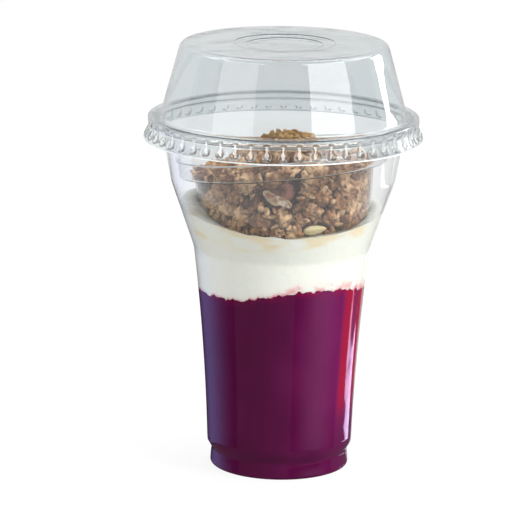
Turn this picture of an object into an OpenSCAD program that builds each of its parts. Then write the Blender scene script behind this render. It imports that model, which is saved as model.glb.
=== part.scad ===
// Clear dessert cup with a dome lid, filled in layers: berry puree, yogurt and a small
// drop-in tub of granola that stands pressed into the yogurt, leaning a little.
// Millimetres, +Z up, origin in the middle of the foot ring's resting plane.

/* [Cup] */
// Outer diameter of the rolled rim
rim_d = 94.1; // [92:0.1:96]
// Height of the cup to the top of its rim
cup_h = 127.2; // [122:0.1:140]
// Thickness of the cup's wall
cup_wall = 0.5; // [0.4:0.05:0.7]
// Outer diameter of the wall just under the rim
mouth_d = 86.2; // [84:0.1:87]
// Outer diameter where the upper band meets the shoulder cone
band_d = 80.2; // [78:0.1:82]
// Height of the lower edge of the upper band
band_h = 105; // [102:0.5:110]
// Outer diameter at the knee, the top of the slim lower body
knee_d = 63.2; // [60:0.1:66]
// Height of the knee
knee_h = 80.5; // [76:0.5:84]
// How far the lower body's wall bows inwards between its ends
body_bow = 0.75; // [0:0.05:1.2]
// Outer diameter of the foot
foot_d = 50.1; // [48:0.1:51]
// How far the rounded lip above the foot stands out past the foot
lip_out = 1.1; // [0.6:0.1:2]
// Height of the middle of the lip
lip_h = 9.5; // [8:0.1:11]
// Depth of the groove between the foot and the lip
groove_depth = 0.45; // [0.2:0.05:1]
// Radius of the foot's outer bottom corner
foot_corner_r = 1.5; // [1:0.1:2.5]
// Width of the flat ring that the cup stands on
foot_ring_w = 1.6; // [1:0.1:3]
// How high the bottom panel lies above the resting plane
panel_lift = 2.4; // [1.5:0.1:4]
// Diameter of the rolled bead round the rim
rim_bead_d = 2.6; // [2.2:0.1:3.4]

/* [Lid] */
// Thickness of the lid's wall
lid_wall = 0.4; // [0.3:0.05:0.6]
// Clearance between the lid and the cup's rim
lid_gap = 0.3; // [0.25:0.05:0.5]
// Height of the dome above the flange's flat
dome_h = 26; // [20:0.5:36]
// Width of the flange from its shoulder in to the dome
flange_w = 4.3; // [3.8:0.1:6]
// How much the dome's wall draws in on each side from the flange to the top
dome_lean = 7.1; // [4:0.1:11]
// Radius of the corner between the dome's wall and its top
dome_corner_r = 2.6; // [1.5:0.1:4]
// Radius of the fillet between the dome's wall and the flange
dome_foot_r = 1; // [0.6:0.1:1.5]
// Radius of the flange's outer shoulder
shoulder_r = 1.2; // [0.8:0.1:1.6]
// Outer diameter of the flared skirt at its lower edge
skirt_d = 99.5; // [98.5:0.1:102]
// How far the skirt's lower edge lies below the flange's flat
skirt_drop = 8; // [7:0.1:10]
// How far the snap neck lies below the flange's flat
neck_drop = 3.3; // [3:0.1:3.6]
// How far the flange's shoulder stands out past the snap neck
neck_undercut = 0.45; // [0.3:0.05:0.8]
// Height of the plain band at the skirt's lower edge
skirt_lip_h = 1.1; // [0.8:0.1:2]
// Diameter of the outer ring step in the top
ring_outer_d = 34.6; // [30:0.1:40]
// Diameter of the inner ring step in the top
ring_inner_d = 26; // [20:0.1:28]
// Depth of each ring step
ring_step = 0.5; // [0.3:0.05:0.8]
// Number of snap flutes round the skirt
flute_count = 54; // [36:1:60]
// Width of one flute
flute_w = 3; // [2:0.1:3.2]
// How far the flutes' tops lie below the flange's flat
flute_drop = 1.6; // [1.3:0.1:2]
// Height of one flute
flute_h = 4.4; // [3.5:0.1:4.8]

/* [Granola tub] */
// Clearance between the tub's rim and the lower edge of the cup's band
tub_side_gap = 1.6; // [1.2:0.1:3]
// Width of the tub's flat rim edge beyond its band
tub_lip_w = 0.7; // [0.4:0.1:1]
// Height of the tub's wide band
tub_band_h = 6.5; // [5:0.1:8]
// How much the band narrows on each side towards its lower edge
tub_band_taper = 0.1; // [0:0.05:0.5]
// Width of the ledge under the band
tub_ledge_w = 4.9; // [3:0.1:5.5]
// How much the tub's wall narrows on each side from the ledge to the bottom
tub_wall_taper = 3.1; // [2:0.1:4]
// Depth of the tub from rim to bottom, outside
tub_h = 28.8; // [26:0.1:31]
// Radius of the tub's bottom corner
tub_corner_r = 5; // [3:0.1:7]
// Thickness of the tub's wall
tub_wall = 0.4; // [0.3:0.05:0.6]
// Number of denesting ribs round the band
tub_rib_count = 36; // [24:1:48]
// Diameter of a denesting rib's rounded face
tub_rib_d = 1.6; // [1.2:0.1:2]
// How far a denesting rib stands out of the band
tub_rib_out = 0.45; // [0.4:0.05:0.6]
// How far the middle of the tub's rim lies below the cup's rim
tub_drop = 12; // [9:0.1:13]
// How far the tub's rim lies to the right of the cup's axis
tub_shift_x = -0.4; // [-1:0.1:1]
// Lean of the tub that lifts its front edge, degrees
tub_lean_front = 4.5; // [0:0.1:5]
// Lean of the tub that lifts its right edge, degrees
tub_lean_right = 5.5; // [0:0.1:6]

/* [Filling] */
// Clearance between the filling and the walls that hold it
food_gap = 0.25; // [0.2:0.05:0.4]
// Height of the line between puree and yogurt at the back and the sides
berry_h = 65.5; // [55:0.1:70]
// How much higher that line rises at the front
berry_rise = 5; // [0:0.1:6]
// Height of the waves in that line
berry_wave = 0.5; // [0:0.1:1.5]
// Height at which the yogurt meets the cup's wall at the sides
yogurt_h = 95.5; // [94:0.1:98]
// How much lower the yogurt stands at the front
yogurt_dip = 5.4; // [0:0.1:6]
// Height of the granola's peak above the tub's rim
heap_peak = 6.4; // [3:0.1:7]
// Diameter of one granola cluster
cluster_d = 7.4; // [5:0.1:9]
// How deep the gaps between the clusters are along the tub's wall
cluster_gap = 2; // [0.5:0.1:2.5]
// Length of the pumpkin seed
seed_len = 8.6; // [6:0.1:10]
// Length of the nut kernel
nut_len = 11.5; // [8:0.1:13]

/* [Hidden] */
$fn = 96;

// Points round the puree and the yogurt, and round the granola
food_sides = 48;
heap_sides = 72;
// Clearance of the dent in the yogurt, with room for its flat facets
dent_gap = food_gap + 0.1;
// How far a cutter reaches past the surface that it cuts
past = 1;
// Radius that is left to an inner corner whose outer radius is about the wall's thickness
tight_r = 0.05;

// Cup: the rim's bead, the neck below it and the fillet that turns the wall out to the rim
rim_r = rim_d / 2;
bead_r = rim_bead_d / 2;
bead_z = cup_h - bead_r;
bead_x = rim_r - bead_r;
neck_run = 1.4;
neck_z = bead_z - bead_r - neck_run;
neck_fillet_r = 1.6;
neck_fillet_c = [mouth_d / 2 + neck_fillet_r, neck_z + 0.4];
// Width of the rim's flat underside beside the bead
rim_flat_w = 0.6;

// Cup: the foot, its groove, the lip and the start of the lower body
foot_r = foot_d / 2;
ring_in_r = foot_r - foot_corner_r - foot_ring_w;
ring_round = 1.2;
panel_round = 1;
panel_r = ring_in_r - panel_lift;
groove_z = lip_h - 3.4;
lip_r = foot_r + lip_out;
lip_round = 1.2;
body_z0 = lip_h + 2;
body_r0 = lip_r + 0.05;

// Lid levels and radii, all worked out from the cup's rim
flange_z = cup_h + lid_gap + lid_wall;
dome_top_z = flange_z + dome_h;
dome_slope = dome_lean / dome_h;
neck_r = rim_r + lid_gap + lid_wall;
neck_lid_z = flange_z - neck_drop;
flange_r = neck_r + neck_undercut;
dome_base_r = flange_r - flange_w;
// Radius that the dome's wall would have at its top without the rounded corner
dome_top_r = dome_base_r - dome_lean;
// Height over which the flange's side draws in to the snap neck
snap_rise = 1.2;
skirt_z = flange_z - skirt_drop;
skirt_r = skirt_d / 2;
// How far the skirt still flares over its plain band
skirt_lip_flare = 0.2;
flute_top_z = flange_z - flute_drop;
flute_low_z = flute_top_z - flute_h;
// The flutes stop this far outside the neck, so that the rim passes them
flute_clear = 0.05;
// Height and end radius of a flute's tapered lower end, as shares of its radius
flute_tip_h = 0.8;
flute_tip_r = 0.5;

// Tub radii and heights in the tub's own frame, where h runs up from its bottom
tub_edge_r = band_d / 2 - cup_wall - tub_side_gap;
tub_rim_r = tub_edge_r - tub_lip_w;
tub_band_r = tub_rim_r - tub_band_taper;
tub_step_r = tub_band_r - tub_ledge_w;
tub_bottom_r = tub_step_r - tub_wall_taper;
tub_band_h0 = tub_h - tub_band_h;
tub_ledge_r = 0.8;
tub_rim_z = cup_h - tub_drop;
// The ribs' lower ends above the ledge, and their upper ends below the rim
rib_low_h = tub_band_h0 + 2.8;
rib_high_h = tub_h - 1.6;

// Waves of the line between puree and yogurt: how many go round, the share of the height, the turn
wave_parts = [[5, 0.6, 0], [9, 0.4, 60]];
// Where the line is highest, in degrees round the cup, and how steeply the rise falls off beside it
berry_rise_angle = -64;
berry_rise_power = 3;
// How much lower the yogurt stands at the right than at the left
yogurt_tilt = 2;

// Granola: where the lumps of the heap lie, each a turn further round and a step further out
cluster_turn = 137.508;
cluster_places = 46;
// How far the heap reaches past the tub's wall over the ledge, and how far its edge lies below the rim
heap_edge_r = tub_step_r + 1.6;
heap_edge_drop = 5;
heap_round = 1.8;
lump_share = 0.55;
cluster_centres = [for (i = [0:cluster_places - 1])
    let (r = heap_edge_r * sqrt((i + 0.5) / cluster_places), a = cluster_turn * i)
    [r * cos(a), r * sin(a)]];
// Clusters against the tub's wall: the angle and the height of each, up to the ledge
side_places = 100;
side_centres = [for (i = [0:side_places - 1]) [cluster_turn * i, tub_band_h0 * (i + 0.5) / side_places]];
// Height between two rings of points along the wall
side_pitch = 1.3;

// Seed and nut: place round the tub, height and tilt on its wall, and thickness, width and
// taper as shares of their length
seed_angle = -69;
seed_tilt = 40;
seed_thick = 0.26;
seed_wide = 0.44;
seed_taper = 0.25;
nut_angle = -94;
nut_h = 17;
nut_tilt = 14;
nut_thick = 0.62;
nut_wide = 0.72;
// Where along their half length the two forms begin and end
seed_ends = [-0.97, 0.97];
nut_ends = [-0.6, 0.97];

// Points along a circle's arc from angle a0 to angle a1, in n steps
function arc(c, r, a0, a1, n) =
    [for (i = [0:n]) let (a = a0 + (a1 - a0) * i / n) c + r * [cos(a), sin(a)]];
function mix(a, b, t) = a + (b - a) * t;
function reverse(list) = [for (i = [len(list) - 1:-1:0]) list[i]];
function sum(list, i = 0) = i == len(list) ? 0 : list[i] + sum(list, i + 1);
function angles(n) = [for (i = [0:n - 1]) 360 * i / n];
// A level ring of n points
function ring(r, z, n) = [for (a = angles(n)) [r * cos(a), r * sin(a), z]];

// Outer radius of the cup's wall at height z, between the lip and the neck
function body_r(z) =
    let (t = (z - body_z0) / (knee_h - body_z0))
    mix(body_r0, knee_d / 2, t) - body_bow * 4 * t * (1 - t);
function cup_r(z) =
    z < knee_h ? body_r(z)
    : z < band_h ? mix(knee_d, band_d, (z - knee_h) / (band_h - knee_h)) / 2
    : mix(band_d, mouth_d, (z - band_h) / (neck_z - band_h)) / 2;

// The cup's outer line from the bottom panel up to the neck, moved inwards by off
function cup_line(off) = concat(
    [[0, panel_lift + off], [panel_r - off, panel_lift + off]],
    arc([panel_r, panel_lift - panel_round], panel_round + off, 80, 40, 2),
    arc([ring_in_r, ring_round], max(ring_round - off, tight_r), 215, 270, 3),
    arc([foot_r - foot_corner_r, foot_corner_r], max(foot_corner_r - off, tight_r), 270, 355, 5),
    [[foot_r - groove_depth - off, groove_z]],
    arc([lip_r - lip_round, lip_h], max(lip_round - off, tight_r), -60, 0, 4),
    [for (i = [0:10]) let (z = mix(body_z0, knee_h, i / 10)) [body_r(z) - off, z]],
    [[band_d / 2 - off, band_h], [mouth_d / 2 - off, neck_z]]);

// The filling's outer line: the inside of the cup less the clearance, up to height z
function fill_r(z) = cup_r(z) - cup_wall - food_gap;

// Height of the line between puree and yogurt at angle a
function wave_z(a) =
    let (rise = berry_rise * pow(max(0, cos(a - berry_rise_angle)), berry_rise_power))
    berry_h + rise + berry_wave * sum([for (w = wave_parts) w[1] * sin(w[0] * a + w[2])]);
// Height at which the yogurt meets the cup at angle a, lowest at the front
function yogurt_z(a) = yogurt_h - yogurt_tilt / 2 * cos(a) - yogurt_dip * pow(max(0, -sin(a)), 2);

// The tub's radius at height h of its own frame, below the band, moved inwards by off
function tub_r(h, off) =
    let (c = tub_corner_r, wall = mix(tub_bottom_r, tub_step_r, h / tub_band_h0))
    h >= c ? wall - off : wall - c + sqrt(max(0, pow(c - off, 2) - pow(c - h, 2)));

// A point of the tub's frame in the cup's frame
function lean(p) =
    let (a = tub_lean_front, b = tub_lean_right)
    let (h = p[2] - tub_h, y = p[1] * cos(a) + h * sin(a), z = h * cos(a) - p[1] * sin(a))
    [p[0] * cos(b) - z * sin(b) + tub_shift_x, y, p[0] * sin(b) + z * cos(b) + tub_rim_z];

// A closed solid through rings of points that all hold the same number of points
module skin(rings) {
    n = len(rings[0]);
    m = len(rings);
    side = [for (k = [0:m - 2]) for (i = [0:n - 1]) let (j = (i + 1) % n)
        each [[k * n + i, (k + 1) * n + i, k * n + j], [k * n + j, (k + 1) * n + i, (k + 1) * n + j]]];
    low = [for (i = [0:n - 1]) [m * n, i, (i + 1) % n]];
    high = [for (i = [0:n - 1]) [m * n + 1, (m - 1) * n + (i + 1) % n, (m - 1) * n + i]];
    middle = [for (k = [0, m - 1]) [for (c = [0:2]) sum([for (p = rings[k]) p[c]]) / n]];
    polyhedron([for (ring = rings) each ring, each middle], concat(side, low, high));
}

// Clear thermoformed cup: one wall from the bottom panel to the rolled rim
module cup() {
    bead = [bead_x, bead_z];
    rim_turn = neck_fillet_c[0];
    color("lightcyan", 0.35)
        rotate_extrude()
            polygon(concat(
                cup_line(0),
                arc(neck_fillet_c, neck_fillet_r, 180, 110, 4),
                [[bead_x - rim_flat_w, cup_h - cup_wall]],
                arc(bead, bead_r - cup_wall, 90, -150, 12),
                arc(bead, bead_r, -150, 90, 12),
                [[rim_turn, cup_h]],
                arc(neck_fillet_c, neck_fillet_r + cup_wall, 120, 180, 4),
                reverse(cup_line(cup_wall))));
}

// The lid's line from the middle of its top to the skirt's edge, moved inwards by off
function lid_line(off) =
    let (tilt = atan(dome_slope), c = dome_corner_r)
    let (corner = [dome_top_r + dome_slope * c - c / cos(tilt), dome_top_z - c])
    let (foot = [dome_base_r + dome_foot_r, flange_z + dome_foot_r], riser = tan(22.5))
    concat(
        [[0, dome_top_z - 2 * ring_step - off]],
        [[ring_inner_d / 2 + off * riser, dome_top_z - 2 * ring_step - off]],
        [[ring_inner_d / 2 + ring_step + off * riser, dome_top_z - ring_step - off]],
        [[ring_outer_d / 2 + off * riser, dome_top_z - ring_step - off]],
        [[ring_outer_d / 2 + ring_step + off * riser, dome_top_z - off]],
        arc(corner, c - off, 90, tilt, 5),
        arc(foot, dome_foot_r + off, 180 + tilt, 270, 4),
        arc([flange_r - shoulder_r, flange_z - shoulder_r], shoulder_r - off, 90, 0, 5),
        [[flange_r - off, neck_lid_z + snap_rise], [neck_r - off, neck_lid_z]],
        [[skirt_r - skirt_lip_flare - off, skirt_z + skirt_lip_h]]);

// One groove cutter: an upright rod with a tapered lower end, whose full width starts at low
module groove(r, low, high) {
    tip = r * flute_tip_h;
    translate([0, 0, low]) cylinder(r = r, h = high - low, $fn = 24);
    translate([0, 0, low - tip]) cylinder(r1 = r * flute_tip_r, r2 = r, h = tip, $fn = 24);
}

// All the snap flutes, as cutters whose faces lie off outside the groove's own
module flutes(off) {
    axis_r = neck_r + flute_clear + flute_w / 2;
    for (i = [0:flute_count - 1])
        rotate([0, 0, 360 * (i + 0.5) / flute_count])
            translate([axis_r, 0, 0])
                groove(flute_w / 2 + off, flute_low_z + flute_w / 2, flute_top_z + off);
}

// The space that the lid covers, as one solid of revolution, moved inwards by off
module lid_form(off) {
    low = skirt_z - (off > 0 ? past : 0);
    rotate_extrude()
        polygon(concat(lid_line(off), [[skirt_r - off, low], [0, low]]));
}

// Clear thermoformed dome lid with its flange, snap neck and fluted skirt
module lid() {
    color("azure", 0.35)
        difference() {
            lid_form(0);
            difference() {
                lid_form(lid_wall);
                flutes(lid_wall);
            }
            flutes(0);
        }
}

// The tub's line from the middle of its bottom to the rim, moved inwards by off
function tub_line(off) =
    let (c = tub_corner_r, edge = tub_ledge_r, mitre = off * tan(22.5))
    concat(
        [[0, off]],
        [for (k = [0:7]) let (h = c - (c - off) * cos(90 * k / 7)) [tub_r(h, off), h]],
        [[tub_step_r - off, tub_band_h0 - edge + mitre]],
        [[tub_step_r + edge - mitre, tub_band_h0 + off]],
        [[tub_band_r - edge - mitre, tub_band_h0 + off]],
        [[tub_band_r - off, tub_band_h0 + edge + mitre]],
        [[tub_rim_r - off, tub_h - tub_wall]]);

// Places anything drawn in the tub's frame where the tub stands in the cup
module placed_in_cup() {
    translate([tub_shift_x, 0, tub_rim_z])
        rotate([0, -tub_lean_right, 0])
            rotate([-tub_lean_front, 0, 0])
                translate([0, 0, -tub_h])
                    children();
}

// The small hollow ribs on the band that keep stacked tubs apart, their faces moved inwards by off
module tub_ribs(off) {
    for (i = [0:tub_rib_count - 1])
        rotate([0, 0, 360 * (i + 0.5) / tub_rib_count])
            translate([tub_rim_r - tub_band_taper / 2 + tub_rib_out - tub_rib_d / 2, 0, rib_low_h + off])
                cylinder(d = tub_rib_d - 2 * off, h = rib_high_h - rib_low_h - 2 * off, $fn = 24);
}

// Clear drop-in tub that keeps the granola dry
module granola_tub() {
    edge = [[tub_edge_r, tub_h - tub_wall], [tub_edge_r, tub_h], [0, tub_h]];
    mouth = [[tub_rim_r - tub_wall, tub_h + past], [0, tub_h + past]];
    color("lightcyan", 0.35)
        placed_in_cup()
            difference() {
                union() {
                    rotate_extrude()
                        polygon(concat(tub_line(0), edge));
                    tub_ribs(0);
                }
                rotate_extrude()
                    polygon(concat(tub_line(tub_wall), mouth));
                tub_ribs(tub_wall);
            }
}

// One ring of the line between puree and yogurt, at the share s of its radius, raised by lift
function wavy_ring(s, lift) =
    [for (a = angles(food_sides))
        let (z = mix(berry_h, wave_z(a), s), r = s * fill_r(z))
        [r * cos(a), r * sin(a), z + lift]];

// Dark berry puree in the slim lower body, up to its wavy line
module berry_layer() {
    walls = [for (p = cup_line(cup_wall + food_gap)) if (p[0] > 0 && p[1] < berry_h - 5) p];
    below = [for (p = walls) ring(p[0], p[1], food_sides)];
    surface = [for (s = [1, 0.7, 0.35]) wavy_ring(s, 0)];
    color("darkmagenta") skin(concat(below, surface));
}

// Height on the tub, in its own frame, at which the yogurt's edge lies against it
function dent_h(a) =
    let (r = tub_bottom_r + 1, z = yogurt_z(a) + 0.3 - tub_rim_z)
    tub_h + (z - r * cos(a) * sin(tub_lean_right) + r * sin(a) * sin(tub_lean_front)) / cos(tub_lean_front);

// Thick white yogurt above the puree, with the dent that the tub presses into it
module yogurt_layer() {
    base = [for (s = [0.35, 0.7, 1]) wavy_ring(s, food_gap)];
    wall = [for (t = [0.5, 1, 1.5, 2])
        [for (a = angles(food_sides))
            let (low = wave_z(a) + food_gap)
            let (z = t > 1 ? mix(knee_h, yogurt_z(a), t - 1) : mix(low, knee_h, t))
            [fill_r(z) * cos(a), fill_r(z) * sin(a), z]]];
    dent = [for (t = [0, 0.2, 0.4, 0.6, 0.78, 0.9, 0.97, 1])
        [for (a = angles(food_sides))
            let (h = mix(dent_h(a), -dent_gap, t), r = tub_r(h, -dent_gap))
            lean([r * cos(a), r * sin(a), h])]];
    color("ivory") skin(concat(base, wall, dent));
}

// Height of the nearest lump above the heap's plain dome at a point p of the tub's frame
function lump(p) =
    let (reach = pow(cluster_d / 2, 2))
    max([for (c = cluster_centres) sqrt(max(0, reach - (p - c) * (p - c)))]);
// Height of the heap at radius r and angle a of the tub's frame
function heap_top(r, a) =
    let (t = r / heap_edge_r, dome = pow(1 - t * t, heap_round), p = [r * cos(a), r * sin(a)])
    let (crown = heap_peak + heap_edge_drop - lump_share * cluster_d / 2)
    tub_h - heap_edge_drop + crown * dome + lump_share * lump(p) * min(1, 4 * (1 - t));

// How far the granola stands back from the tub's wall at angle a and height h, 0 in the middle of a cluster
function side_gap(a, h) =
    let (r = tub_r(h, 0), reach = cluster_d / 2)
    let (near = min([for (c = side_centres) norm([2 * r * sin((a - c[0]) / 2), h - c[1]])]))
    cluster_gap * (1 - sqrt(max(0, 1 - pow(near / reach, 2)))) * min(1, h / tub_corner_r);

// Toasted granola that fills the tub and heaps above its rim
module granola_heap() {
    off = tub_wall + food_gap;
    low = [off, off + 0.4, 1.8, 3.2];
    levels = concat(low, [for (h = [tub_corner_r:side_pitch:tub_band_h0]) h], [tub_band_h0 + tub_wall]);
    side = [for (h = levels)
        [for (a = angles(heap_sides))
            let (r = tub_r(h, off) - side_gap(a, h))
            lean([r * cos(a), r * sin(a), h])]];
    top = [for (t = [1:-0.07:0.02])
        [for (a = angles(heap_sides))
            let (r = t * heap_edge_r)
            lean([r * cos(a), r * sin(a), heap_top(r, a)])]];
    color("peru")
        difference() {
            skin(concat(side, top));
            seed_place() seed_form(food_gap, seed_thick * seed_len / 2 + past);
            nut_place() nut_form(food_gap, nut_thick * nut_len / 2 + past);
        }
}

// Where the seed and the nut lie against the tub's wall, in the cup's frame
module seed_place() {
    out = tub_corner_r - tub_wall - 2 * food_gap - seed_thick * seed_len / 2;
    placed_in_cup()
        rotate([0, 0, seed_angle])
            translate([tub_bottom_r - tub_corner_r, 0, tub_corner_r])
                rotate([0, seed_tilt, 0])
                    translate([out, 0, 0])
                        children();
}
module nut_place() {
    placed_in_cup()
        rotate([0, 0, nut_angle])
            translate([tub_r(nut_h, tub_wall + 2 * food_gap) - nut_thick * nut_len / 2, 0, nut_h])
                rotate([nut_tilt, 0, 0])
                    children();
}

// A flat oval seed with one pointed end, lying along Y; off makes it larger all round, and open
// draws its outer half out, so that its hollow is open to the tub's wall
module seed_form(off, open) {
    half = seed_len / 2;
    steps = 8;
    rings = [for (k = [0:steps])
        let (u = mix(seed_ends[0], seed_ends[1], k / steps))
        let (w = half * sqrt(1 - u * u) * (1 - seed_taper * u))
        [for (a = [0:30:330])
            let (out = cos(a) > 0 ? open : 0)
            [(seed_thick * w + off) * cos(a) + out, u * (half + off), (seed_wide * w + off) * sin(a)]]];
    skin(reverse(rings));
}
module pumpkin_seed() {
    color("palegoldenrod") seed_place() seed_form(0, 0);
}

// A plump nut kernel along Y, broken flat across one end, with the same two ways to make its hollow
module nut_form(off, open) {
    half = nut_len / 2;
    steps = 8;
    rings = [for (k = [0:steps])
        let (u = mix(nut_ends[0], nut_ends[1], k / steps), w = half * sqrt(1 - u * u))
        let (y = u * half + (k == 0 ? -off : k == steps ? off : 0))
        [for (a = [0:30:330])
            let (out = cos(a) > 0 ? open : 0)
            [(nut_thick * w + off) * cos(a) + out, y, (nut_wide * w + off) * sin(a)]]];
    skin(reverse(rings));
}
module nut_kernel() {
    color("saddlebrown") nut_place() nut_form(0, 0);
}

cup();
lid();
granola_tub();
berry_layer();
yogurt_layer();
granola_heap();
pumpkin_seed();
nut_kernel();
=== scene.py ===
"""Looks of the clear dessert cup with a dome lid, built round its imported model."""

import math
import random

import bpy
from mathutils import Matrix, Vector, noise


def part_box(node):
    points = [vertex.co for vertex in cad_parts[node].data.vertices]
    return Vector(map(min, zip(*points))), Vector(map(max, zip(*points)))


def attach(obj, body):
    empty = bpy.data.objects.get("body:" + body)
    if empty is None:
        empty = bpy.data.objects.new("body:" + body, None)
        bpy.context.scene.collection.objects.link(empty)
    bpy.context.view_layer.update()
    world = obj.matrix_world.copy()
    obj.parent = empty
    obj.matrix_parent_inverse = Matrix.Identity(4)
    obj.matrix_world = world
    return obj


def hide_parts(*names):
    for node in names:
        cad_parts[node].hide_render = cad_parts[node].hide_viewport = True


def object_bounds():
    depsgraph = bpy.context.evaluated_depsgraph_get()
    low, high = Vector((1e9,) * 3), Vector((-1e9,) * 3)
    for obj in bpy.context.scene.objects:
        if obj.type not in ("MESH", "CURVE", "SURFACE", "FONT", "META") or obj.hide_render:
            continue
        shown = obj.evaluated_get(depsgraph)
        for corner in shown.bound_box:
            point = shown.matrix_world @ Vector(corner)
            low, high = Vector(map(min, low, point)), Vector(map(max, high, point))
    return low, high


bl_info = {
    "name": "Dessert cup with dome lid",
    "version": (1, 0, 0),
    "blender": (4, 5, 0),
    "location": "3D View > Sidebar > Dessert cup",
    "description": "Builds a clear cup of berry puree, yogurt and granola under a dome lid",
    "category": "Object",
}

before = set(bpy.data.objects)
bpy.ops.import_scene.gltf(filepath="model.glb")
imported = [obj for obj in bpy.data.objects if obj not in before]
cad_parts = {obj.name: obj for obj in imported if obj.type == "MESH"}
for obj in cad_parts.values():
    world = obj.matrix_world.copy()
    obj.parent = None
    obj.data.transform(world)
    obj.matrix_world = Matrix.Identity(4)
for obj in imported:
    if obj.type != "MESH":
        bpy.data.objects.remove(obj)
CAD_LOW, CAD_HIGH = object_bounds()
CUP_LOW, CUP_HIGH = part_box("cup")
LID_LOW, LID_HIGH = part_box("lid")

MM = 0.001
FULL_TURN = 2 * math.pi
GOLDEN_TURN = math.radians(137.508)
MIDDLE = (CAD_LOW + CAD_HIGH) / 2
WHITE = (1, 1, 1)

# Steps round the cup and the food, and the longest stretch of an outline that is left unsplit
CUP_STEPS = 192
FOOD_STEPS = 360
STRETCH = 6 * MM

# The slim body starts this far over the lip, and the wall ends this far below the rim's bead
LIP_RISE = 2 * MM
NECK_DROP = 1.4 * MM

# Over this height the ends of a flute or rib run out
RUN_OUT = 0.3 * MM

# What rests against the tub's wall keeps this far from it
TUB_GAP = 0.15 * MM


def size(label, about, mm):
    """A length property whose default is given in millimetres."""
    return bpy.props.FloatProperty(name=label, description=about, default=mm * MM, unit="LENGTH")


def turn(label, about, degrees):
    """An angle property whose default is given in degrees."""
    return bpy.props.FloatProperty(
        name=label, description=about, default=math.radians(degrees), subtype="ANGLE")


def number(label, about, value):
    """A count."""
    return bpy.props.IntProperty(name=label, description=about, default=value)


def tint(label, about, red, green, blue):
    """A colour property, with plain linear values."""
    return bpy.props.FloatVectorProperty(
        name=label, description=about, default=(red, green, blue), subtype="COLOR", min=0, max=1)


class CupSizes(bpy.types.PropertyGroup):
    """Outline of the cup's wall, from its foot to its rolled rim."""

    rim_d: size("Rim", "Outer diameter of the rolled rim", (CUP_HIGH.x - CUP_LOW.x) / MM)
    height: size("Height", "Height to the top of the rim", CUP_HIGH.z / MM)
    wall: size("Wall", "Thickness of the wall", 0.5)
    mouth_d: size("Mouth", "Diameter of the wall just under the rim", 86.2)
    band_d: size("Band", "Diameter where the upper band meets the shoulder cone", 80.2)
    band_z: size("Band height", "Height of the lower edge of the upper band", 105)
    knee_d: size("Knee", "Diameter at the top of the slim lower body", 63.2)
    knee_z: size("Knee height", "Height of the knee", 80.5)
    bow: size("Bow", "How far the lower body's wall bows inwards", 0.75)
    lip_d: size("Lip", "Diameter of the rounded lip above the foot", 52.3)
    lip_z: size("Lip height", "Height of the middle of the lip", 9.5)
    foot_d: size("Foot", "Diameter of the foot", 50.1)
    groove: size("Groove", "Depth of the groove over the foot", 0.45)
    panel_z: size("Bottom panel", "How high the bottom panel lies", 2.4)
    bead_d: size("Bead", "Diameter of the bead round the rim", 2.6)


class LidSizes(bpy.types.PropertyGroup):
    """Outline of the dome lid and its fluted skirt."""

    wall: size("Wall", "Thickness of the lid", 0.4)
    top_z: size("Height", "Height of the dome's top", LID_HIGH.z / MM)
    skirt_d: size("Skirt", "Diameter of the skirt at its lower edge", (LID_HIGH.x - LID_LOW.x) / MM)
    skirt_z: size("Skirt edge", "Height of the skirt's lower edge", LID_LOW.z / MM)
    dome_h: size("Dome", "Height of the dome over the flange", 26)
    dome_base_d: size("Dome base", "Diameter of the dome at the flange", 87.8)
    dome_top_d: size("Dome top", "Diameter of the dome at its top, without the rounded corner", 73.6)
    corner: size("Corner", "Radius between the dome's wall and top", 2.6)
    flange_d: size("Flange", "Diameter of the flange's shoulder", 96.4)
    neck_d: size("Neck", "Diameter of the snap neck", 95.5)
    neck_drop: size("Neck drop", "How far the neck lies below the flange", 3.3)
    ring_out_d: size("Outer ring", "Diameter of the outer ring step in the top", 34.6)
    ring_in_d: size("Inner ring", "Diameter of the inner ring step in the top", 26)
    ring_step: size("Ring step", "Depth of each ring step", 0.5)
    flutes: number("Flutes", "Number of snap flutes round the skirt", 54)
    flute_w: size("Flute width", "Width of one flute", 3.2)
    flute_drop: size("Flute drop", "How far the flutes' tops lie below the flange", 1.6)
    flute_h: size("Flute height", "Height of one flute", 5.4)


class TubSizes(bpy.types.PropertyGroup):
    """Outline and lean of the drop-in tub that holds the granola."""

    rim_d: size("Rim", "Outer diameter of the tub's rim", 76)
    lip: size("Lip", "Width of the flat rim edge", 0.7)
    height: size("Depth", "Depth of the tub, outside", 28.8)
    band_h: size("Band", "Height of the wide band", 6.5)
    band_taper: size("Band taper", "How much the band narrows on each side", 0.1)
    ledge: size("Ledge", "Width of the ledge under the band", 4.9)
    taper: size("Wall taper", "How much the wall narrows on each side", 3.1)
    corner: size("Corner", "Radius of the bottom corner", 5)
    wall: size("Wall", "Thickness of the tub", 0.4)
    ribs: number("Ribs", "Number of denesting ribs round the band", 36)
    rib_d: size("Rib", "Diameter of a denesting rib's face", 1.6)
    rib_out: size("Rib height", "How far a denesting rib stands out", 0.45)
    rim_z: size("Rim height", "Height of the middle of the tub's rim", 115.2)
    shift: size("Shift", "How far the rim lies to the right of the cup's axis", -0.4)
    lean_front: turn("Front lean", "Lean that lifts the front edge", 4.5)
    lean_right: turn("Right lean", "Lean that lifts the right edge", 5.5)


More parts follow.
